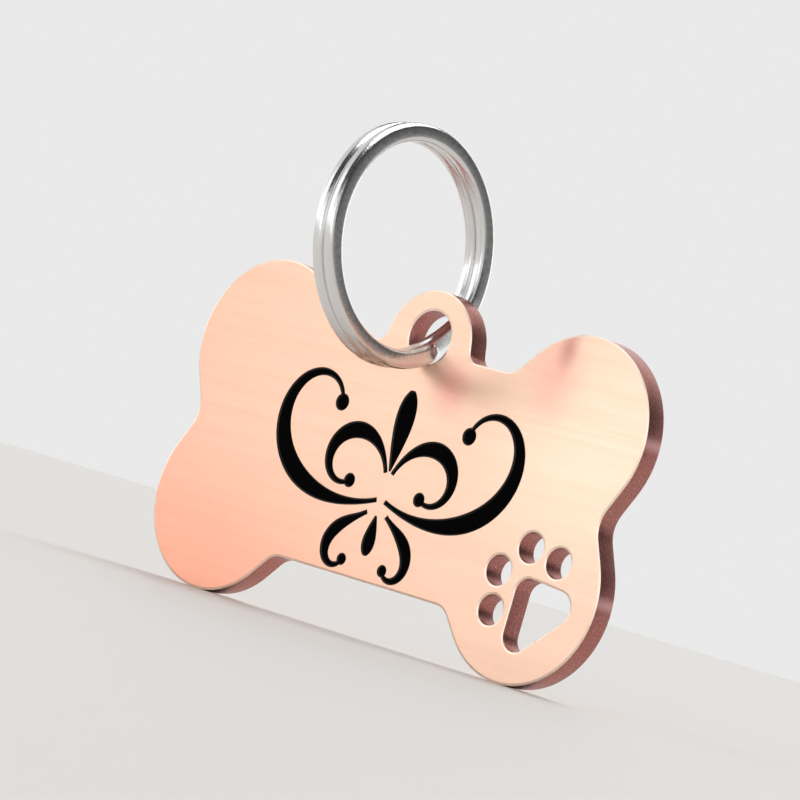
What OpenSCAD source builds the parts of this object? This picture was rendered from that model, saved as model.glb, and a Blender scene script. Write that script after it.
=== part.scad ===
// Pet id tag: a bone-shaped metal plate with an eyelet tab, a paw cut-out and an
// enamelled scroll engraving, hung on a two-turn split ring.
// Millimetres. The origin is the centre of the split ring, where a collar's loop passes.
// The plate stands upright in the XZ plane, its engraved face towards -Y.

/* [Plate] */
// Width across the two ends of the bone
tag_w = 50; // [48:0.5:60]
// Height across the upper and lower lobes
tag_h = 28.6; // [27:0.2:34]
// Height between the straight upper and lower edges
body_h = 19.5; // [18.5:0.1:22]
// Thickness of the plate
plate_t = 2; // [1.2:0.1:2.6]
// Radius of the four lobes
lobe_r = 7.7; // [7:0.1:8.5]
// Radius of the hollow in the middle of each end
notch_r = 2.7; // [1.5:0.1:4]
// Straight flank between an end hollow and a lobe
notch_flank = 2.1; // [1:0.1:3]
// Radius of the hollow where a straight edge meets a lobe
corner_r = 1.85; // [1:0.05:2.5]
// Straight flank between that hollow and the lobe
corner_flank = 1.9; // [1:0.1:3]

/* [Eyelet tab] */
// Radius of the tab round the eyelet
tab_r = 4.65; // [4.3:0.05:5.5]
// Height of the tab's centre above the straight edge
tab_rise = 0.45; // [0.2:0.05:1.5]
// Radius of the hollow at each side of the tab's foot
foot_r = 1.05; // [0.6:0.05:2]
// Straight flank between the tab and the hollow at its foot
foot_flank = 0.75; // [0.3:0.05:1.5]
// Diameter of the eyelet
eyelet_d = 4.5; // [4.2:0.1:5.2]
// Height of the eyelet's centre above the tab's centre
eyelet_rise = 0.7; // [0:0.05:0.8]

/* [Paw cut-out] */
// Distance of the paw's centre from the lobe's centre, outwards
paw_out = 1.65; // [1:0.05:2]
// Distance of the paw's centre from the lobe's centre, downwards
paw_down = 1.5; // [1:0.05:2]
// Turn of the paw from upright, in degrees
paw_turn = 43; // [30:1:50]
// Radius of each toe
toe_r = 1.27; // [1:0.01:1.35]
// Distance of the two inner toes from the paw's centre
inner_toe_reach = 5.3; // [5.1:0.05:5.6]
// Distance of the two outer toes from the paw's centre
outer_toe_reach = 4.4; // [4.3:0.05:4.8]
// Angle of the inner toes from the paw's middle line, in degrees
inner_toe_angle = 19.6; // [19:0.1:22]
// Angle of the outer toes from the paw's middle line, in degrees
outer_toe_angle = 57; // [56:0.5:64]
// Height of the pad's top corner above the paw's centre
pad_top = 1.7; // [1.3:0.05:1.8]
// Depth of the pad's lower corners below the paw's centre
pad_low = 0.85; // [0.5:0.05:1]
// Half the distance between the pad's lower corners
pad_half = 2.15; // [1.8:0.05:2.4]
// Radius of the pad's top corner
pad_top_r = 1.26; // [1:0.02:1.4]
// Radius of the pad's lower corners
pad_low_r = 1.38; // [1:0.02:1.5]

/* [Engraving] */
// Depth of the engraved pockets
engrave_t = 0.5; // [0.2:0.05:0.8]
// Depth of the enamel's surface below the face
enamel_sunk = 0.12; // [0.04:0.02:0.16]
// Thickest part of the widest stroke
stroke_w = 1.75; // [1.2:0.05:2]
// Width of a stroke at its thin ends
hair_w = 0.42; // [0.3:0.02:0.6]
// Bare metal left between the ornament and the straight edges
edge_margin = 1.6; // [1:0.1:3]
// How far the ornament's ends pass over the side of the paw
paw_overlap = 1.8; // [0:0.1:2]

/* [Split ring] */
// Outer diameter of the ring
ring_od = 20; // [18:0.5:25]
// Thickness of the wire across the ring's radius
wire_h = 1.6; // [1.2:0.05:1.8]
// Width of the wire along the ring's axis
wire_w = 1.1; // [0.8:0.05:1.2]
// Flat left along the wire's rims between its round corners
rim_flat = 0.1; // [0.06:0.02:0.3]
// Gap between the two turns
turn_gap = 0.06; // [0.04:0.01:0.2]
// Turn of the ring from square to the plate, in degrees
ring_cant = 7; // [0:0.5:8]
// Clearance between the wire and the edges of the eyelet
eyelet_clear = 0.07; // [0.06:0.01:0.3]
// Clearance between the wire's ends and the plate
end_clear = 0.15; // [0.1:0.05:0.5]
// Length that the rear end is drawn back along the ring
end_back = 2.5; // [1:0.1:4]

/* [Hidden] */
$fn = 96;
over = 0.5;

// Bone outline. Every arc is [x, z, radius, side]: side is 1 where the outline
// bulges and -1 where it is hollow. Straight flanks join one arc to the next. The
// tab is an outline of its own that laps into the body below the straight edge.
edge_z = body_h / 2;
lobe_x = tag_w / 2 - lobe_r;
lobe_z = tag_h / 2 - lobe_r;
notch_x = lobe_x + across(lobe_r + notch_r, notch_flank, lobe_z);
corner_z = edge_z + corner_r;
corner_x = lobe_x - across(lobe_r + corner_r, corner_flank, corner_z - lobe_z);
tab_z = edge_z + tab_rise;
foot_z = edge_z + foot_r;
foot_x = across(tab_r + foot_r, foot_flank, foot_z - tab_z);
eyelet_z = tab_z + eyelet_rise;

right_arcs = [
    [corner_x, -corner_z, corner_r, -1],
    [lobe_x, -lobe_z, lobe_r, 1],
    [notch_x, 0, notch_r, -1],
    [lobe_x, lobe_z, lobe_r, 1],
    [corner_x, corner_z, corner_r, -1]
];
bone_arcs = concat(right_arcs, mirrored(right_arcs));
right_tab_arcs = [
    [foot_x + foot_r, edge_z - foot_r, foot_r, 1],
    [foot_x, foot_z, foot_r, -1]
];
tab_arcs = concat(right_tab_arcs, [[0, tab_z, tab_r, 1]], mirrored(right_tab_arcs));

// Paw. The toes stand on two circles about the paw's centre, the pad is a
// triangle with round corners.
paw_x = lobe_x + paw_out;
paw_z = -lobe_z - paw_down;
toe_places = [
    for (side = [-1, 1])
        each [
            inner_toe_reach * [side * sin(inner_toe_angle), cos(inner_toe_angle)],
            outer_toe_reach * [side * sin(outer_toe_angle), cos(outer_toe_angle)]
        ]
];
pad_arcs = [
    [-pad_half, -pad_low, pad_low_r, 1],
    [pad_half, -pad_low, pad_low_r, 1],
    [0, pad_top, pad_top_r, 1]
];

// Ornament. One unit is half its width, limited by the paw or by the height of
// the plate. Each stroke is a bending line: [x, z, heading, length, steady turn,
// closing turn, power of the closing turn, thickness], lengths in units and the
// thickness in stroke widths.
stroke_steps = 36;
ball_steps = 20;
scroll_shares = [0.031, -0.212, -20, 1.77, 100, 182, 3, 1];
curl_shares = [0.026, -0.05, 68, 0.94, -136, -148, 2.2, 0.83];
sprig_shares = [0.075, -0.292, -34, 0.6, 44, -262, 2.3, 0.7];
ball_share = 0.42;
peak_share = 0.44;
upper_drop_shares = [0.455, 0.52, 0.145];
lower_drop_shares = [-0.545, 0.265, 0.1];
drop_belly_share = 0.62;
paw_reach = inner_toe_reach + toe_r;
unit_by_paw = paw_x - paw_reach + paw_overlap;
unit_by_height = (edge_z - edge_margin) / -lower_drop_shares[0];
unit = min(unit_by_paw, unit_by_height);
enamel_t = engrave_t - enamel_sunk;

// Split ring. Its wire passes the eyelet askew: it clears the lower front edge and
// the upper rear edge by the same amount, which sets how far the ring leans forward.
// The corner share is what a round corner takes off the wire's half width, and the
// meeting share is where on that half width the wire comes nearest to the eyelet.
ring_ro = ring_od / 2;
ring_ri = ring_ro - wire_h;
wire_mid = ring_ro - wire_h / 2;
turn_off = (wire_w + turn_gap) / 2;
wire_round = (wire_w - rim_flat) / 2;
corner_share = 2 - sqrt(2);
meeting_share = 0.714;
wire_side = turn_off + wire_w / 2 - corner_share * wire_round;
eyelet_room = 2 * across(eyelet_d / 2, 0, meeting_share * wire_side) - 2 * eyelet_clear;
lean_a = (eyelet_room ^ 2 + ring_ro ^ 2 - ring_ri ^ 2 + plate_t ^ 2) / (2 * eyelet_room);
lean_b = plate_t / eyelet_room;
ring_lead = (sqrt((lean_a * lean_b) ^ 2 - (1 + lean_b ^ 2) * (lean_a ^ 2 - ring_ro ^ 2))
    - lean_a * lean_b) / (1 + lean_b ^ 2);
ring_rise = lean_a + lean_b * ring_lead - eyelet_room / 2;

// Angles round the ring, from straight down towards the rear.
front_end = asin((ring_lead - end_clear) / ring_ro);
rear_end = asin(min(1, (ring_lead + plate_t + end_clear) / ring_ri)) + end_back / wire_mid * 180 / PI;
turn_sweep = 360 + front_end - rear_end;
jog_steps = 18;
jog_lap = 2;
jog_skin = 0.015;
corner_steps = 4;

// The plate's place: the middle of the bone's front face.
eyelet_x = ring_rise * sin(ring_cant);
plate_x = eyelet_x;
plate_y = ring_lead;
plate_z = -ring_rise * cos(ring_cant) - eyelet_z;

// Run along one axis of a line that is as long as a hypotenuse of reach and flank,
// and that rises by the given height
function across(reach, flank, height) = sqrt(reach ^ 2 + flank ^ 2 - height ^ 2);

function mirrored(arcs) = [
    for (i = [len(arcs) - 1:-1:0]) [-arcs[i][0], arcs[i][1], arcs[i][2], arcs[i][3]]
];

// Heading of the straight flank from one arc to the next, counter-clockwise
function flank_heading(a, b) =
    let (d = [b[0] - a[0], b[1] - a[1]])
    atan2(d[1], d[0]) + asin((a[3] * a[2] - b[3] * b[2]) / norm(d));

function touch_point(arc, heading) =
    [arc[0], arc[1]] + arc[3] * arc[2] * [sin(heading), -cos(heading)];

// Region inside a closed chain of arcs and the flanks between them
module belt(arcs) {
    n = len(arcs);
    points = [
        for (i = [0:n - 1])
            let (
                arc = arcs[i],
                entry = flank_heading(arcs[(i + n - 1) % n], arc),
                exit = flank_heading(arc, arcs[(i + 1) % n])
            )
            each [touch_point(arc, entry), [arc[0], arc[1]], touch_point(arc, exit)]
    ];
    difference() {
        union() {
            polygon(points);
            for (arc = arcs)
                if (arc[3] > 0) translate([arc[0], arc[1]]) circle(r = arc[2]);
        }
        for (arc = arcs)
            if (arc[3] < 0) translate([arc[0], arc[1]]) circle(r = arc[2]);
    }
}

function stroke_heading(s, t) = s[2] + s[4] * t + s[5] * pow(t, s[6]);

function stroke_path(s) =
    let (step = s[3] * unit / stroke_steps)
    [
        for (
            i = 0, p = [s[0], s[1]] * unit;
            i <= stroke_steps;
            p = p + step * [cos(stroke_heading(s, (i + 0.5) / stroke_steps)),
                sin(stroke_heading(s, (i + 0.5) / stroke_steps))], i = i + 1
        )
            p
    ];

// Half the stroke's width: a hairline at both ends, full at the peak
function stroke_half(s, t) =
    let (swell = t < peak_share ? sin(90 * t / peak_share) : cos(90 * (t - peak_share) / (1 - peak_share)))
    (hair_w + (s[7] * stroke_w - hair_w) * swell ^ 2) / 2;

// Outline of a stroke, one side out, round the ball at its end, the other side back
module stroke(s) {
    path = stroke_path(s);
    tip = path[stroke_steps];
    ball_r = ball_share * s[7] * stroke_w;
    sides = [
        for (side = [1, -1])
            [
                for (i = [0:stroke_steps])
                    let (
                        t = i / stroke_steps,
                        h = stroke_heading(s, t),
                        p = path[i] + side * stroke_half(s, t) * [-sin(h), cos(h)]
                    )
                    if (norm(p - tip) > ball_r) p
            ]
    ];
    last = len(sides[0]) - 1;
    back = len(sides[1]) - 1;
    from = sides[0][last] - tip;
    to = sides[1][back] - tip;
    start = atan2(from[1], from[0]);
    sweep = (start - atan2(to[1], to[0]) + 720) % 360;
    polygon(concat(
        sides[0],
        [
            for (i = [0:ball_steps])
                let (a = start - sweep * i / ball_steps)
                tip + ball_r * [cos(a), sin(a)]
        ],
        [for (i = [back:-1:0]) sides[1][i]]
    ));
}

// Drop standing on the middle line: [height of its end, length, width] in units,
// pointing towards the middle of the ornament
module drop(d) {
    way = d[0] > 0 ? -1 : 1;
    halves = [
        for (i = [0:stroke_steps])
            let (t = i / stroke_steps)
            [d[2] * sin(180 * pow(t, drop_belly_share)) / 2, d[0] + way * d[1] * t] * unit
    ];
    polygon(concat(halves, [for (i = [stroke_steps - 1:-1:1]) [-halves[i][0], halves[i][1]]]));
}

// Stands a flat outline up in the plate's place. Heights count from the rear face.
module upright(from_rear, thick) {
    translate([plate_x, plate_y + plate_t - from_rear, plate_z])
        rotate([90, 0, 0]) linear_extrude(thick) children();
}

module paw_outline() {
    translate([paw_x, paw_z]) rotate(paw_turn) {
        for (place = toe_places) translate(place) circle(r = toe_r);
        belt(pad_arcs);
    }
}

module enamel(thick) {
    upright(plate_t - engrave_t, thick) children();
}

module tag_plate() {
    color([0.93, 0.72, 0.62]) difference() {
        upright(0, plate_t) {
            belt(bone_arcs);
            belt(tab_arcs);
        }
        upright(-over, plate_t + 2 * over) {
            translate([0, eyelet_z]) circle(d = eyelet_d);
            paw_outline();
        }
        enamel(engrave_t + over) {
            for (side = [0, 1]) mirror([side, 0]) {
                stroke(scroll_shares);
                stroke(curl_shares);
                stroke(sprig_shares);
            }
            drop(upper_drop_shares);
            drop(lower_drop_shares);
        }
    }
}

// Section of the wire, along the ring's radius and axis
module wire_section() {
    for (x = [-1, 1], y = [-1, 1])
        translate([x * (wire_h / 2 - wire_round), y * (wire_w / 2 - wire_round)]) circle(r = wire_round);
    square([wire_h, wire_w - 2 * wire_round], center = true);
    square([wire_h - 2 * wire_round, wire_w], center = true);
}

function section_points(skin) = [
    for (corner = [0:3], i = [0:corner_steps])
        let (
            a = 90 * (corner + i / corner_steps),
            x = corner == 0 || corner == 3 ? 1 : -1,
            y = corner < 2 ? 1 : -1
        )
        [
            x * (wire_h / 2 - wire_round) + (wire_round - skin) * cos(a),
            y * (wire_w / 2 - wire_round) + (wire_round - skin) * sin(a)
        ]
];

// Sideways place of the wire where it steps from the front turn to the rear one
function jog_off(angle) =
    let (t = max(0, min(1, (angle - front_end) / (rear_end - front_end))))
    -turn_off * cos(180 * t);

// Stretch of wire that joins the two turns. It laps into both of them.
module jog() {
    section = section_points(jog_skin);
    n = len(section);
    angles = [
        for (i = [0:jog_steps])
            front_end - jog_lap + (rear_end - front_end + 2 * jog_lap) * i / jog_steps
    ];
    points = [
        for (a = angles, p = section)
            [(wire_mid + p[0]) * cos(a), (wire_mid + p[0]) * sin(a), jog_off(a) + p[1]]
    ];
    walls = [
        for (i = [0:jog_steps - 1], j = [0:n - 1])
            let (k = (j + 1) % n)
            each [
                [i * n + j, (i + 1) * n + k, (i + 1) * n + j],
                [i * n + j, i * n + k, (i + 1) * n + k]
            ]
    ];
    caps = [[for (j = [n - 1:-1:0]) j], [for (j = [0:n - 1]) jog_steps * n + j]];
    polyhedron(points, concat(walls, caps));
}

module split_ring() {
    color([0.8, 0.8, 0.82]) rotate([0, 90 - ring_cant, 0]) {
        for (side = [-1, 1])
            translate([0, 0, side * turn_off]) rotate([0, 0, rear_end])
                rotate_extrude(angle = turn_sweep) translate([wire_mid, 0]) wire_section();
        jog();
    }
}

module enamel_stroke(s, side) {
    color([0.03, 0.03, 0.03]) enamel(enamel_t) mirror([side, 0]) stroke(s);
}

module enamel_drop(d) {
    color([0.03, 0.03, 0.03]) enamel(enamel_t) drop(d);
}

module enamel_scroll_left() { enamel_stroke(scroll_shares, 1); }
module enamel_scroll_right() { enamel_stroke(scroll_shares, 0); }
module enamel_curl_left() { enamel_stroke(curl_shares, 1); }
module enamel_curl_right() { enamel_stroke(curl_shares, 0); }
module enamel_sprig_left() { enamel_stroke(sprig_shares, 1); }
module enamel_sprig_right() { enamel_stroke(sprig_shares, 0); }
module enamel_drop_upper() { enamel_drop(upper_drop_shares); }
module enamel_drop_lower() { enamel_drop(lower_drop_shares); }

tag_plate();
split_ring();
enamel_scroll_left();
enamel_scroll_right();
enamel_curl_left();
enamel_curl_right();
enamel_sprig_left();
enamel_sprig_right();
enamel_drop_upper();
enamel_drop_lower();
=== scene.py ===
import math

import bmesh
import bpy
from mathutils import Matrix, Vector


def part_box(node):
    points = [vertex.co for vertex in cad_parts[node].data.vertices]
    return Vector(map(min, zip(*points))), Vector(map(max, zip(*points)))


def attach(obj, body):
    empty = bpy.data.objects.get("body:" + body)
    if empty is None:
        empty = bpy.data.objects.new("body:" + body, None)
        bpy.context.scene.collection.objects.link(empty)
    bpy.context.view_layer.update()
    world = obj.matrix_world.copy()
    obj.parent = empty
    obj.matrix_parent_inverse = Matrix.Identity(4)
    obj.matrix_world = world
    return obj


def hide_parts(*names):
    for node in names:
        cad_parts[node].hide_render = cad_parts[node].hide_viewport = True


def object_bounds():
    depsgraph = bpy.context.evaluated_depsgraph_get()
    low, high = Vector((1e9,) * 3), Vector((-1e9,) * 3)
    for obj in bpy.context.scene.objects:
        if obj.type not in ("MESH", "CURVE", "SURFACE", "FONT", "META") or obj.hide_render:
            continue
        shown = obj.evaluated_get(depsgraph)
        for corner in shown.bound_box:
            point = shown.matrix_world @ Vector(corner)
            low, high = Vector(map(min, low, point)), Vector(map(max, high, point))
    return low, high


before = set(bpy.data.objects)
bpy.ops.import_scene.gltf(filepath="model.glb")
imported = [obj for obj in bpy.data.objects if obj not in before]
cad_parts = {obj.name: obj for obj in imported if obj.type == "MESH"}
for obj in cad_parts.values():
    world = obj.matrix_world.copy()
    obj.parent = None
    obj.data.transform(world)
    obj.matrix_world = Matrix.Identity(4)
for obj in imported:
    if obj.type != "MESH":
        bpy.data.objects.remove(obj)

cad_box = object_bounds()
mm = 0.001

# Tag plate: one piece of sheet metal cut to a bone with an eyelet tab, pierced by the
# eyelet and the paw, engraved from the front, then rose gold coated and brushed along
# its length. It hangs on the ring that passes through the eyelet.
plate_low, plate_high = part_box("tag_plate")
face_y = plate_low.y
back_y = plate_high.y
plate_x = (plate_low.x + plate_high.x) / 2
tag_w = 50 * mm
tag_h = 28.6 * mm
body_h = 19.5 * mm
lobe_r = 7.7 * mm
notch_r = 2.7 * mm
notch_flank = 2.1 * mm
corner_r = 1.85 * mm
corner_flank = 1.9 * mm
tab_r = 4.65 * mm
tab_rise = 0.45 * mm
foot_r = 1.05 * mm
foot_flank = 0.75 * mm
eyelet_r = 2.25 * mm
eyelet_rise = 0.7 * mm
plate_z = plate_low.z + tag_h / 2
engrave_t = 0.5 * mm

# Broken edges, as the width and height of each step: round the outline and the
# piercings, round the whole face with its engraving, and round the back.
cut_lip = [(0.15 * mm, 0.06 * mm)]
face_lip = [(0.04 * mm, 0.008 * mm)]
rear_lip = [(0.015 * mm, 0.035 * mm), (0.035 * mm, 0.015 * mm)]

arc_step = math.radians(3)
fewest_arc_steps = 4
circle_steps = 72
sharp_angle = math.radians(50)


def across(reach, flank, height):
    """How far apart along the plate two arcs stand that a straight flank joins."""
    return math.sqrt(reach ** 2 + flank ** 2 - height ** 2)


edge_z = body_h / 2
lobe_x = tag_w / 2 - lobe_r
lobe_z = tag_h / 2 - lobe_r
notch_x = lobe_x + across(lobe_r + notch_r, notch_flank, lobe_z)
corner_z = edge_z + corner_r
corner_x = lobe_x - across(lobe_r + corner_r, corner_flank, corner_z - lobe_z)
tab_z = edge_z + tab_rise
foot_z = edge_z + foot_r
foot_x = across(tab_r + foot_r, foot_flank, foot_z - tab_z)
eyelet_z = tab_z + eyelet_rise

# The outline is a chain of arcs joined by straight flanks. Each arc is its centre,
# its radius and the side it bulges to: 1 outwards, -1 inwards.
right_arcs = [
    (corner_x, -corner_z, corner_r, -1),
    (lobe_x, -lobe_z, lobe_r, 1),
    (notch_x, 0, notch_r, -1),
    (lobe_x, lobe_z, lobe_r, 1),
    (corner_x, corner_z, corner_r, -1),
    (foot_x, foot_z, foot_r, -1),
]
left_arcs = [(-x, z, radius, side) for x, z, radius, side in reversed(right_arcs)]
bone_arcs = right_arcs + [(0, tab_z, tab_r, 1)] + left_arcs

# The paw: four toes on two circles about its middle, and a pad with round corners.
paw_out = 1.65 * mm
paw_down = 1.5 * mm
paw_x = lobe_x + paw_out
paw_z = -lobe_z - paw_down
paw_turn = math.radians(43)
toe_r = 1.27 * mm
inner_toe_reach = 5.3 * mm
outer_toe_reach = 4.4 * mm
inner_toe_angle = math.radians(19.6)
outer_toe_angle = math.radians(57)
pad_top = 1.7 * mm
pad_low = 0.85 * mm
pad_half = 2.15 * mm
pad_top_r = 1.26 * mm
pad_low_r = 1.38 * mm
pad_arcs = [
    (-pad_half, -pad_low, pad_low_r, 1),
    (pad_half, -pad_low, pad_low_r, 1),
    (0, pad_top, pad_top_r, 1),
]


def on_plate(x, z, y=face_y):
    """A point of the plate's own drawing, whose middle is the middle of the bone."""
    return Vector((plate_x + x, y, plate_z + z))


def flank_heading(first, second):
    """Direction of the straight flank from one arc to the next."""
    gap = Vector((second[0] - first[0], second[1] - first[1]))
    reach = first[3] * first[2] - second[3] * second[2]
    return math.atan2(gap.y, gap.x) + math.asin(reach / gap.length)


def walk(first):
    """The edges of a chain in order, from its first vertex to its end or round to it."""
    edges = []
    here = first
    onward = list(first.link_edges)
    while onward:
        edges.append(onward[0])
        here = onward[0].other_vert(here)
        onward = [edge for edge in here.link_edges if edge not in edges]
    return edges


def arc_loop(bm, arcs, y, turn=0, middle=(0, 0)):
    """A closed chain of edges along arcs and the flanks between them."""
    facing = Matrix.Rotation(-turn, 4, "Y")
    centre = on_plate(middle[0], middle[1], y)
    edges = []
    ends = []
    for i, arc in enumerate(arcs):
        x, z, radius, side = arc
        entry = flank_heading(arcs[i - 1], arc)
        leave = flank_heading(arc, arcs[(i + 1) % len(arcs)])
        sweep = (side * (leave - entry)) % (2 * math.pi)
        bulge = side * radius
        start = Vector((x + bulge * math.sin(entry), 0, z - bulge * math.cos(entry)))
        first = bm.verts.new(centre + facing @ start)
        spun = bmesh.ops.spin(
            bm, geom=[first], cent=centre + facing @ Vector((x, 0, z)), axis=(0, -1, 0),
            angle=side * sweep, steps=max(fewest_arc_steps, round(sweep / arc_step)))
        ends.append((first, spun["geom_last"][0]))
        edges += walk(first)
    for i, end in enumerate(ends):
        edges.append(bm.edges.new((ends[i - 1][1], end[0])))
    return edges


def circle_loop(bm, x, z, radius, y):
    """A closed circle of edges."""
    first = bm.verts.new(on_plate(x + radius, z, y))
    bmesh.ops.spin(
        bm, geom=[first], cent=on_plate(x, z, y), axis=(0, -1, 0),
        angle=2 * math.pi, steps=circle_steps, use_merge=True)
    return walk(first)


def link_loop(bm, points):
    """A closed chain of edges through the points."""
    verts = [bm.verts.new(point) for point in points]
    return [bm.edges.new((verts[i - 1], verts[i])) for i in range(len(verts))]


# The engraving: strokes that a cutter draws along bending lines, each swelling from a
# hairline and closing in a ball, and two drops on the middle line. A stroke's shares are
# its start, heading, length, steady turn, closing turn and its power, and thickness. A
# drop's are the height of its outer end, its length towards the middle and its width.
paw_overlap = 1.8 * mm
ornament_unit = paw_x - inner_toe_reach - toe_r + paw_overlap
stroke_w = 1.75 * mm
hair_w = 0.42 * mm
cutter_r = 0.1 * mm
stroke_steps = 72
ball_steps = 36
scroll_shares = (0.031, -0.212, -20, 1.77, 100, 182, 3, 1)
curl_shares = (0.026, -0.05, 68, 0.94, -136, -148, 2.2, 0.83)
sprig_shares = (0.075, -0.292, -34, 0.6, 44, -262, 2.3, 0.7)
upper_drop_shares = (0.455, 0.52, 0.145)
lower_drop_shares = (-0.545, 0.265, 0.1)
ball_share = 0.42
peak_share = 0.44
drop_belly_share = 0.62


def stroke_outline(shares, side):
    """Points round a stroke, up one flank, round the ball and down the other."""
    x, z, heading, length, steady, closing, power, weight = shares
    step = length * ornament_unit / stroke_steps
    here = Vector((x, z)) * ornament_unit
    flanks = ([], [])
    for i in range(stroke_steps + 1):
        share = i / stroke_steps
        angle = math.radians(heading + steady * share + closing * share ** power)
        if share < peak_share:
            swell = math.sin(math.pi / 2 * share / peak_share)
        else:
            swell = math.cos(math.pi / 2 * (share - peak_share) / (1 - peak_share))
        half = (hair_w + (weight * stroke_w - hair_w) * swell ** 2) / 2
        aside = half * Vector((-math.sin(angle), math.cos(angle)))
        flanks[0].append(here + aside)
        flanks[1].append(here - aside)
        tip = here
        middle = share + 0.5 / stroke_steps
        angle = math.radians(heading + steady * middle + closing * middle ** power)
        here = here + step * Vector((math.cos(angle), math.sin(angle)))
    ball_r = ball_share * weight * stroke_w
    out, back = (
        [point for point in flank if (point - tip).length > ball_r] for flank in flanks)
    start = math.atan2(out[-1].y - tip.y, out[-1].x - tip.x)
    end = math.atan2(back[-1].y - tip.y, back[-1].x - tip.x)
    sweep = (start - end) % (2 * math.pi)
    ball = []
    for i in range(ball_steps + 1):
        angle = start - sweep * i / ball_steps
        ball.append(tip + ball_r * Vector((math.cos(angle), math.sin(angle))))
    return [(side * point.x, point.y) for point in out + ball + back[::-1]]


def drop_outline(shares):
    """Points round a drop that stands on the middle line."""
    outer_end, length, width = shares
    way = -1 if outer_end > 0 else 1
    right = []
    for i in range(stroke_steps + 1):
        share = i / stroke_steps
        belly = width * math.sin(math.pi * share ** drop_belly_share) / 2 * ornament_unit
        if belly > cutter_r:
            right.append((belly, (outer_end + way * length * share) * ornament_unit))
    return right + [(-x, z) for x, z in right[::-1]]


engraved = {
    "enamel_scroll_left": stroke_outline(scroll_shares, -1),
    "enamel_scroll_right": stroke_outline(scroll_shares, 1),
    "enamel_curl_left": stroke_outline(curl_shares, -1),
    "enamel_curl_right": stroke_outline(curl_shares, 1),
    "enamel_sprig_left": stroke_outline(sprig_shares, -1),
    "enamel_sprig_right": stroke_outline(sprig_shares, 1),
    "enamel_drop_upper": drop_outline(upper_drop_shares),
    "enamel_drop_lower": drop_outline(lower_drop_shares),
}


def of_kind(geom, kind):
    """The vertices, the edges or the faces among all that an operator gives back."""
    return [item for item in geom if isinstance(item, kind)]


def fill(bm, edges, way):
    """Flat faces inside the loops, with the inner loops left open."""
    filled = bmesh.ops.triangle_fill(bm, use_beauty=True, edges=edges, normal=(0, way, 0))
    faces = of_kind(filled["geom"], bmesh.types.BMFace)
    for face in faces:
        face.smooth = False
    return faces


def sink(bm, edges, depth):
    """Walls from closed loops of edges into the plate, and the loops at their far ends."""
    sunk = bmesh.ops.extrude_edge_only(bm, edges=edges)["geom"]
    bmesh.ops.translate(bm, vec=(0, depth, 0), verts=of_kind(sunk, bmesh.types.BMVert))
    sides = of_kind(sunk, bmesh.types.BMFace)
    far = [edge for edge in of_kind(sunk, bmesh.types.BMEdge) if edge.is_boundary]
    return sides, far


def step_in(bm, cap, width, rise):
    """Draws the rim of a flat cap inwards and moves the cap along the plate's thickness."""
    inset = bmesh.ops.inset_region(
        bm, faces=cap, use_boundary=True, use_even_offset=False, thickness=width)
    verts = list({vert for face in cap for vert in face.verts})
    bmesh.ops.translate(bm, vec=(0, rise, 0), verts=verts)
    return inset["faces"]


def break_edge(bm, cap, way, lip):
    """Breaks the rim of a flat cap in steps, each as wide and as high as the lip says."""
    broken = []
    for width, height in lip:
        broken += step_in(bm, cap, width, way * height)
    return broken


def rim_edges(cap):
    """The edges where a cap meets what surrounds it."""
    inside = set(cap)
    edges = [edge for face in cap for edge in face.edges]
    return [edge for edge in edges if not inside.issuperset(edge.link_faces)]


def finish_mesh(bm, name, materials, body, node):
    """Turns a bmesh into a piece that stands for a CAD node and moves with its body."""
    bmesh.ops.recalc_face_normals(bm, faces=bm.faces)
    mesh = bpy.data.meshes.new(name)
    bm.to_mesh(mesh)
    for material in materials:
        mesh.materials.append(material)
    # Marking the sharp edges also smooths the flat faces, so each is marked again after it.
    mesh.set_sharp_from_angle(angle=sharp_angle)
    mesh.polygons.foreach_set("use_smooth", [face.smooth for face in bm.faces])
    bm.free()
    piece = bpy.data.objects.new(name, mesh)
    bpy.context.scene.collection.objects.link(piece)
    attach(piece, body)
    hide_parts(node)


# The outline and the piercings are drawn at the foot of the front lips, drawn through
# to the back and closed there.
bm = bmesh.new()
lip_y = face_y + sum(height for width, height in cut_lip + face_lip)
rear_y = back_y - sum(height for width, height in rear_lip)
outer = arc_loop(bm, bone_arcs, lip_y)
outer += circle_loop(bm, 0, eyelet_z, eyelet_r, lip_y)
outer += arc_loop(bm, pad_arcs, lip_y, turn=paw_turn, middle=(paw_x, paw_z))
for reach, angle in ((inner_toe_reach, inner_toe_angle), (outer_toe_reach, outer_toe_angle)):
    for side in (-1, 1):
        toe_x = paw_x + reach * math.sin(side * angle - paw_turn)
        toe_z = paw_z + reach * math.cos(side * angle - paw_turn)
        outer += circle_loop(bm, toe_x, toe_z, toe_r, lip_y)
walls, rear_edges = sink(bm, outer, rear_y - lip_y)
rear_cap = fill(bm, rear_edges, 1)
lips = break_edge(bm, rear_cap, 1, rear_lip)

# The cut lip goes round the outline and the piercings alone. The fine lip inside it
# breaks the edges of the engraved pockets too.
cap = fill(bm, outer, -1)
cut_lips = break_edge(bm, cap, -1, cut_lip)
rims = rim_edges(cap)
shallow_y = rims[0].verts[0].co.y
bmesh.ops.delete(bm, geom=cap, context="FACES")
floors = []
for points in engraved.values():
    pocket = link_loop(bm, [on_plate(x, z, shallow_y) for x, z in points])
    sides, floor_edges = sink(bm, pocket, engrave_t + face_y - shallow_y)
    walls += sides
    floors += fill(bm, floor_edges, -1)
    rims += pocket
cap = fill(bm, rims, -1)
lips += break_edge(bm, cap, -1, face_lip)

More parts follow.
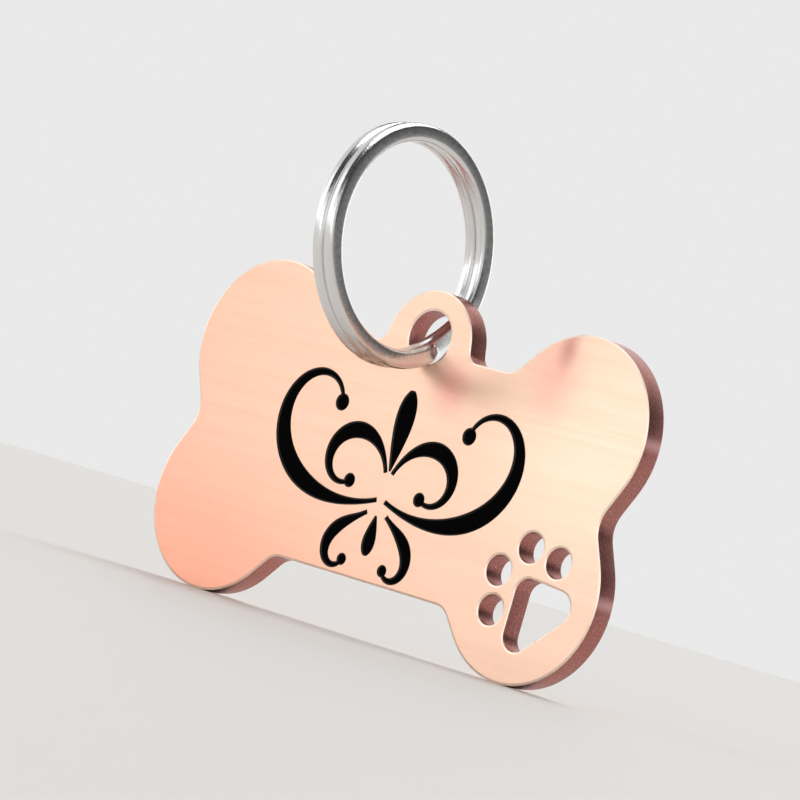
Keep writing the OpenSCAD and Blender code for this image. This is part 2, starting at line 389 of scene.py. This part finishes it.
# The plate's second and third material: the cut walls and pocket floors, darker as painted
# shade, and the lip, paler as a painted highlight. All other faces keep the first, which is
# brushed.
cut_edge_slot = 1
lip_slot = 2
for face in walls + floors:
    face.material_index = cut_edge_slot
for face in cut_lips:
    face.material_index = lip_slot
for face in lips + cut_lips + walls:
    face.smooth = True


def new_material(name, base, metallic, roughness):
    """A new material and its shader."""
    material = bpy.data.materials.new(name)
    material.use_nodes = True
    shader = material.node_tree.nodes["Principled BSDF"]
    shader.inputs["Base Color"].default_value = (*base, 1)
    shader.inputs["Metallic"].default_value = metallic
    shader.inputs["Roughness"].default_value = roughness
    return material, shader


def object_noise(tree, waves, detail):
    """Noise on the piece's own coordinates, with so many waves a metre along each axis."""
    place = tree.nodes.new("ShaderNodeTexCoord")
    mapping = tree.nodes.new("ShaderNodeMapping")
    mapping.inputs["Scale"].default_value = waves
    noise = tree.nodes.new("ShaderNodeTexNoise")
    noise.inputs["Scale"].default_value = 1
    noise.inputs["Detail"].default_value = detail
    tree.links.new(place.outputs["Object"], mapping.inputs["Vector"])
    tree.links.new(mapping.outputs["Vector"], noise.inputs["Vector"])
    return noise.outputs["Fac"]


def ramp(tree, factor, stops):
    """A colour ramp through (position, colour) stops."""
    node = tree.nodes.new("ShaderNodeValToRGB")
    elements = node.color_ramp.elements
    while len(elements) < len(stops):
        elements.new(0.5)
    for element, (position, colour) in zip(elements, stops):
        element.position = position
        element.color = (*colour, 1)
    tree.links.new(factor, node.inputs["Fac"])
    return node.outputs["Color"]


def spread(tree, value, low, high, start=0, end=1):
    """Maps what runs from start to end onto low to high."""
    node = tree.nodes.new("ShaderNodeMapRange")
    node.inputs["From Min"].default_value = start
    node.inputs["From Max"].default_value = end
    node.inputs["To Min"].default_value = low
    node.inputs["To Max"].default_value = high
    tree.links.new(value, node.inputs["Value"])
    return node.outputs["Result"]


def bumped(tree, shader, height, distance):
    """Raises the surface by a height."""
    node = tree.nodes.new("ShaderNodeBump")
    node.inputs["Distance"].default_value = distance
    tree.links.new(height, node.inputs["Height"])
    tree.links.new(node.outputs["Normal"], shader.inputs["Normal"])


def mixed(tree, factor, below, above, blend="MIX"):
    """One colour over another by a factor."""
    node = tree.nodes.new("ShaderNodeMix")
    node.data_type = "RGBA"
    node.blend_type = blend
    for socket, value in (("Factor", factor), ("A", below), ("B", above)):
        inputs = [entry for entry in node.inputs if entry.name == socket and entry.enabled]
        if isinstance(value, bpy.types.NodeSocket):
            tree.links.new(value, inputs[0])
        elif socket == "Factor":
            inputs[0].default_value = value
        else:
            inputs[0].default_value = (*value, 1)
    results = [entry for entry in node.outputs if entry.name == "Result" and entry.enabled]
    return results[0]


def near(tree, middle, reach):
    """A factor that fades from 1 at a point of the piece to 0 at its reach along each axis."""
    place = tree.nodes.new("ShaderNodeTexCoord")
    mapping = tree.nodes.new("ShaderNodeMapping")
    mapping.inputs["Location"].default_value = [-at / far for at, far in zip(middle, reach)]
    mapping.inputs["Scale"].default_value = [1 / far for far in reach]
    length = tree.nodes.new("ShaderNodeVectorMath")
    length.operation = "LENGTH"
    fade = tree.nodes.new("ShaderNodeMapRange")
    fade.interpolation_type = "SMOOTHSTEP"
    fade.inputs["To Min"].default_value = 1
    fade.inputs["To Max"].default_value = 0
    tree.links.new(place.outputs["Object"], mapping.inputs["Vector"])
    tree.links.new(mapping.outputs["Vector"], length.inputs[0])
    tree.links.new(length.outputs["Value"], fade.inputs["Value"])
    return fade.outputs["Result"]


# The faces: brushed hairlines and broader streaks along the plate, on a tint that runs
# pinker towards the left end and paler towards the right, a painted reflection. Each spot of
# painted reflection is its place on the plate, how far it reaches along and up the plate, and
# its colour: the pale right end, the deep lower left end, the ring's reflection under the
# eyelet, and a flush and a smudge of reflection at the top right. They stay on the front,
# because they reach less deep than the plate is thick.
painted_reflection_spots = [
    (21.5 * mm, 5 * mm, 17 * mm, 14 * mm, (0.98, 0.79, 0.605)),
    (-23 * mm, -15 * mm, 38 * mm, 17 * mm, (0.98, 0.46, 0.325)),
    (3.8 * mm, 7.4 * mm, 2.8 * mm, 3.4 * mm, (0.95, 0.50, 0.41)),
    (14 * mm, 10.6 * mm, 4.2 * mm, 5.6 * mm, (0.98, 0.56, 0.45)),
    (14.7 * mm, 12.9 * mm, 1.5 * mm, 3 * mm, (0.70, 0.36, 0.30)),
]
spot_depth = 1.5 * mm
brushed, shader = new_material("rose_gold_brushed", (0.98, 0.67, 0.48), 1, 0.36)
tree = brushed.node_tree
place = tree.nodes.new("ShaderNodeTexCoord")
parts = tree.nodes.new("ShaderNodeSeparateXYZ")
tree.links.new(place.outputs["Object"], parts.inputs["Vector"])
along = spread(tree, parts.outputs["X"], 0, 1, start=plate_low.x, end=plate_high.x)
# Painted reflection: the tint runs pinker towards the left end and paler towards the right.
tint = ramp(tree, along, [
    (0, (0.98, 0.56, 0.42)),
    (0.45, (0.98, 0.64, 0.48)),
    (1, (0.98, 0.68, 0.525)),
])
# Each spot mixes in a painted reflection.
for x, z, reach_x, reach_z, colour in painted_reflection_spots:
    spot = near(tree, on_plate(x, z), (reach_x, spot_depth, reach_z))
    tint = mixed(tree, spot, tint, colour)
hairlines = object_noise(tree, (120, 120, 9000), 3)
streaks = object_noise(tree, (60, 60, 1800), 3)
streak_tint = ramp(tree, streaks, [(0.35, (0.965, 0.955, 0.95)), (0.65, (1, 1, 1))])
tint = mixed(tree, 1, tint, streak_tint, "MULTIPLY")
tree.links.new(tint, shader.inputs["Base Color"])
tree.links.new(spread(tree, hairlines, 0.30, 0.44), shader.inputs["Roughness"])
bumped(tree, shader, hairlines, 0.005 * mm)

# The cut edges and the pockets: a darker copy of the rose gold as painted shade, and grainy,
# with painted highlights across the edge near where each right lobe stands out furthest.
painted_edge_glints = (lobe_z + 0.5 * mm, -lobe_z + 0.7 * mm)
painted_glint_reach = (2 * mm, 5 * mm, 0.85 * mm)
# Painted shade: the same rose gold, darker on the cut walls and the pocket floors.
edge_metal, shader = new_material("rose_gold_cut_edge", (0.48, 0.19, 0.16), 1, 0.34)
tree = edge_metal.node_tree
grain = object_noise(tree, (7000, 7000, 7000), 3)
tint = ramp(tree, grain, [
    (0.36, (0.38, 0.14, 0.12)),
    (0.6, (0.52, 0.205, 0.175)),
    (0.76, (0.80, 0.42, 0.37)),
])
# Painted highlights: paler spots on the wall where each right lobe stands out furthest.
for z in painted_edge_glints:
    glint = near(tree, on_plate(tag_w / 2, z), painted_glint_reach)
    tint = mixed(tree, glint, tint, (0.95, 0.52, 0.50))
tree.links.new(tint, shader.inputs["Base Color"])
tree.links.new(spread(tree, grain, 0.28, 0.42), shader.inputs["Roughness"])
bumped(tree, shader, grain, 0.004 * mm)

# The bright lip: the edge of the face, a paler copy of the rose gold as a painted highlight,
# mottled at random.
bright_lip, shader = new_material("rose_gold_bright_lip", (0.98, 0.82, 0.68), 1, 0.3)
tree = bright_lip.node_tree
lip_mottle = object_noise(tree, (1500, 1500, 1500), 2)
tint = ramp(tree, lip_mottle, [(0.36, (0.94, 0.75, 0.62)), (0.56, (0.98, 0.83, 0.69))])
tree.links.new(tint, shader.inputs["Base Color"])
tree.links.new(spread(tree, lip_mottle, 0.22, 0.38), shader.inputs["Roughness"])

finish_mesh(bm, "bone_plate", [brushed, edge_metal, bright_lip], "tag", "tag_plate")


# Enamel: black enamel poured into each engraved pocket, where it sets fast. Its level
# lies a little below the face and is wiped dull. The bank that creeps up the pocket's
# wall keeps its gloss.
enamel_low, enamel_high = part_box("enamel_scroll_left")
creep_drop = 0.05 * mm
creep_w = 0.12 * mm
creep_y = face_y + creep_drop
gloss_slot = 1

# The bank's steps from the wall inwards: the share of its width and of its height.
bank_shares = [(0.25, 0.55), (0.3, 0.3), (0.45, 0.15)]

enamel_finishes = []
for name, gloss in (("enamel_black", 0.004), ("enamel_gloss", 0.32)):
    enamel, shader = new_material(name, (0.002, 0.002, 0.002), 0, 0.28)
    shader.inputs["Specular IOR Level"].default_value = gloss
    tree = enamel.node_tree
    bumped(tree, shader, object_noise(tree, (900, 900, 900), 2), 0.03 * mm)
    enamel_finishes.append(enamel)

for node, points in engraved.items():
    bm = bmesh.new()
    rim = link_loop(bm, [on_plate(x, z, creep_y) for x, z in points])
    sides, floor_edges = sink(bm, rim, enamel_high.y - creep_y)
    fill(bm, floor_edges, 1)
    top = fill(bm, rim, -1)
    bank = []
    for width_share, depth_share in bank_shares:
        bank += step_in(bm, top, creep_w * width_share, (enamel_low.y - creep_y) * depth_share)
    for face in bank + sides:
        face.smooth = True
    for face in bank:
        face.material_index = gloss_slot
    finish_mesh(bm, node + "_fill", enamel_finishes, "tag", node)


# Split ring: one flattened spring steel wire wound into two turns that lie against each
# other, with a step from one turn to the other at the eyelet. It is polished all over
# and passes through the eyelet.
ring_od = 20 * mm
wire_h = 1.6 * mm
wire_w = 1.1 * mm
rim_flat = 0.1 * mm
turn_gap = 0.06 * mm
ring_cant = math.radians(7)
end_clear = 0.15 * mm
end_back = 2.5 * mm
wire_mid = (ring_od - wire_h) / 2
turn_off = (wire_w + turn_gap) / 2
front_end = math.asin((face_y - end_clear) / (ring_od / 2))
rear_end = math.asin((back_y + end_clear) / (ring_od / 2 - wire_h)) + end_back / wire_mid
ring_axis = Vector((math.cos(ring_cant), 0, math.sin(ring_cant)))
ring_down = Vector((math.sin(ring_cant), 0, -math.cos(ring_cant)))
ring_rear = ring_axis.cross(ring_down)
rim_steps = 8
longest_step = math.radians(2.5)

# The wire's rounded tips: how long each is, how far its rounding turns, what it takes
# off the wire's size, and how far short of the CAD's front end the front tip starts.
tip_r = 1.3 * mm
tip_bend = math.radians(88)
tip_loss = 0.85
tip_lap = 0.05 * mm
tip_steps = 12


def wire_offset(angle):
    """Place of the wire along the ring's axis, from its rear end to its front end."""
    jog_start = 2 * math.pi + front_end
    share = min(1, max(0, (angle - jog_start) / (rear_end - front_end)))
    return -turn_off * math.cos(math.pi * share)


def wire_frame(angle):
    """The wire's section stands here: x outwards, y along the ring's axis, z along the wire."""
    outward = ring_down * math.cos(angle) + ring_rear * math.sin(angle)
    stand = Matrix((outward, ring_axis, outward.cross(ring_axis))).transposed().to_4x4()
    stand.translation = outward * wire_mid + ring_axis * wire_offset(angle)
    return stand


def draw_wire(bm, geom, angle, turn):
    """Draws the wire's last section on round the ring by a small turn."""
    shift = wire_offset(angle + turn) - wire_offset(angle)
    return bmesh.ops.spin(
        bm, geom=geom, cent=(0, 0, 0), axis=ring_axis, dvec=ring_axis * shift,
        angle=turn, steps=1)["geom_last"]


def draw_tip(bm, geom, angle, way):
    """Rounds the wire off: its sections shrink as it ends."""
    reach = 0
    size = 1
    for i in range(tip_steps):
        bend = tip_bend * (i + 1) / tip_steps
        turn = tip_r * math.sin(bend) / wire_mid - reach
        geom = draw_wire(bm, geom, angle, way * turn)
        reach += turn
        angle += way * turn
        new_size = 1 - tip_loss * (1 - math.cos(bend))
        bmesh.ops.scale(
            bm, vec=(new_size / size, new_size / size, 1), space=wire_frame(angle).inverted(),
            verts=of_kind(geom, bmesh.types.BMVert))
        size = new_size
    return geom


# The section is a unit square, scaled to the wire and rounded at its corners.
bm = bmesh.new()
section = bmesh.ops.create_grid(bm, x_segments=1, y_segments=1, size=0.5)["verts"]
bmesh.ops.scale(bm, vec=(wire_h, wire_w, 1), verts=section)
bmesh.ops.bevel(
    bm, geom=section, offset=(wire_w - rim_flat) / 2, segments=rim_steps, profile=0.5,
    affect="VERTICES", material=-1)
wire_start = rear_end
wire_stop = 4 * math.pi + front_end - tip_lap / wire_mid
bmesh.ops.transform(bm, matrix=wire_frame(wire_start), verts=bm.verts)
start_ring = bm.verts[:] + bm.edges[:]
wire_steps = round((wire_stop - wire_start) / longest_step)
turn_step = (wire_stop - wire_start) / wire_steps
bmesh.ops.delete(bm, geom=bm.faces[:], context="FACES_ONLY")
geom = bm.edges[:] + bm.verts[:]
for i in range(wire_steps):
    geom = draw_wire(bm, geom, wire_start + i * turn_step, turn_step)
rear_tip = draw_tip(bm, start_ring, wire_start, -1)
front_tip = draw_tip(bm, geom, wire_stop, 1)
for tip in (rear_tip, front_tip):
    bmesh.ops.edgeloop_fill(bm, edges=of_kind(tip, bmesh.types.BMEdge))
for face in bm.faces:
    face.smooth = True

ring_steel, shader = new_material("polished_steel", (0.82, 0.815, 0.81), 1, 0.2)
tree = ring_steel.node_tree
scratches = object_noise(tree, (4000, 2400, 2400), 4)
tree.links.new(spread(tree, scratches, 0.12, 0.3), shader.inputs["Roughness"])
bumped(tree, shader, scratches, 0.012 * mm)
finish_mesh(bm, "wound_ring", [ring_steel], "ring", "split_ring")


# Studio: a plain pale floor that the tag stands on, a world that is pale at the horizon
# and dims overhead, to the right and in front, and broad far lamps from all sides.
floor_reach = 4
floor_z = cad_box[0][2]
bm = bmesh.new()
bmesh.ops.create_grid(bm, x_segments=1, y_segments=1, size=floor_reach)
bmesh.ops.translate(bm, vec=(0, 0, floor_z), verts=bm.verts)
mesh = bpy.data.meshes.new("floor")
bm.to_mesh(mesh)
bm.free()
floor = bpy.data.objects.new("floor", mesh)
bpy.context.scene.collection.objects.link(floor)
floor_paint, shader = new_material("floor_paint", (0.80, 0.775, 0.75), 0, 0.6)
mesh.materials.append(floor_paint)


def grey_ramp(tree, factor, stops):
    """A ramp through (position, shade of grey) stops."""
    return ramp(tree, factor, [(position, (shade, shade, shade)) for position, shade in stops])


world = bpy.data.worlds.new("studio")
world.use_nodes = True
bpy.context.scene.world = world
tree = world.node_tree
background = tree.nodes["Background"]
direction = tree.nodes.new("ShaderNodeTexCoord")
parts = tree.nodes.new("ShaderNodeSeparateXYZ")
tree.links.new(direction.outputs["Generated"], parts.inputs["Vector"])
overhead = grey_ramp(tree, parts.outputs["Z"], [(0.15, 1), (0.24, 0.28), (0.6, 0.10)])
right_wall = grey_ramp(tree, parts.outputs["X"], [(0.15, 0.82), (0.6, 0.34)])
rearward = spread(tree, parts.outputs["Y"], 0, 1, start=-1)
front_wall = grey_ramp(tree, rearward, [(0.35, 0.62), (0.6, 1)])
around = mixed(tree, 1, right_wall, front_wall, "MULTIPLY")
around = mixed(tree, 1, around, overhead, "MULTIPLY")
tree.links.new(around, background.inputs["Color"])


def soft_lamp(name, from_place, spread_deg, strength):
    """A broad, far lamp that shines from a direction."""
    light = bpy.data.lights.new(name, "SUN")
    light.angle = math.radians(spread_deg)
    light.energy = strength
    lamp = bpy.data.objects.new(name, light)
    bpy.context.scene.collection.objects.link(lamp)
    lamp.rotation_euler = Vector(from_place).to_track_quat("Z", "Y").to_euler()


soft_lamp("key", (-0.82, -0.33, 0.46), 90, 1.0)
soft_lamp("front", (-0.55, -0.8, 0.22), 60, 0.43)
soft_lamp("fill", (0.2, -0.97, 0.09), 50, 0.48)
soft_lamp("side", (0.74, -0.66, 0.12), 60, 0.45)
soft_lamp("top", (0.1, 0.3, 0.95), 60, 1.65)
soft_lamp("rear", (-0.45, 0.88, 0.12), 60, 0.8)

# Camera: to the right of the plate, just below its level, tilted to one side. The lens
# and the sensor are in millimetres, as the camera takes them.
view_azimuth = math.radians(42.411)
view_elevation = math.radians(1.729)
view_roll = math.radians(16.738)
view_distance = 401.12 * mm
view_centre = Vector((0.272, 4.497, -11.993)) * mm
lens_mm = 221.76
sensor_mm = 36
nearest_seen = 10 * mm
farthest_seen = 50
forward = Vector((
    -math.sin(view_azimuth) * math.cos(view_elevation),
    math.cos(view_azimuth) * math.cos(view_elevation),
    math.sin(view_elevation),
))
level = forward.cross(Vector((0, 0, 1))).normalized()
roll = Matrix.Rotation(-view_roll, 3, forward)
right = roll @ level
up = roll @ level.cross(forward)
camera_data = bpy.data.cameras.new("camera")
camera_data.lens = lens_mm
camera_data.sensor_width = sensor_mm
camera_data.clip_start = nearest_seen
camera_data.clip_end = farthest_seen
camera = bpy.data.objects.new("camera", camera_data)
bpy.context.scene.collection.objects.link(camera)
camera.matrix_world = Matrix.Translation(view_centre - forward * view_distance) @ Matrix(
    (right, up, -forward)).transposed().to_4x4()
bpy.context.scene.camera = camera
bpy.context.scene.view_settings.view_transform = "Standard"
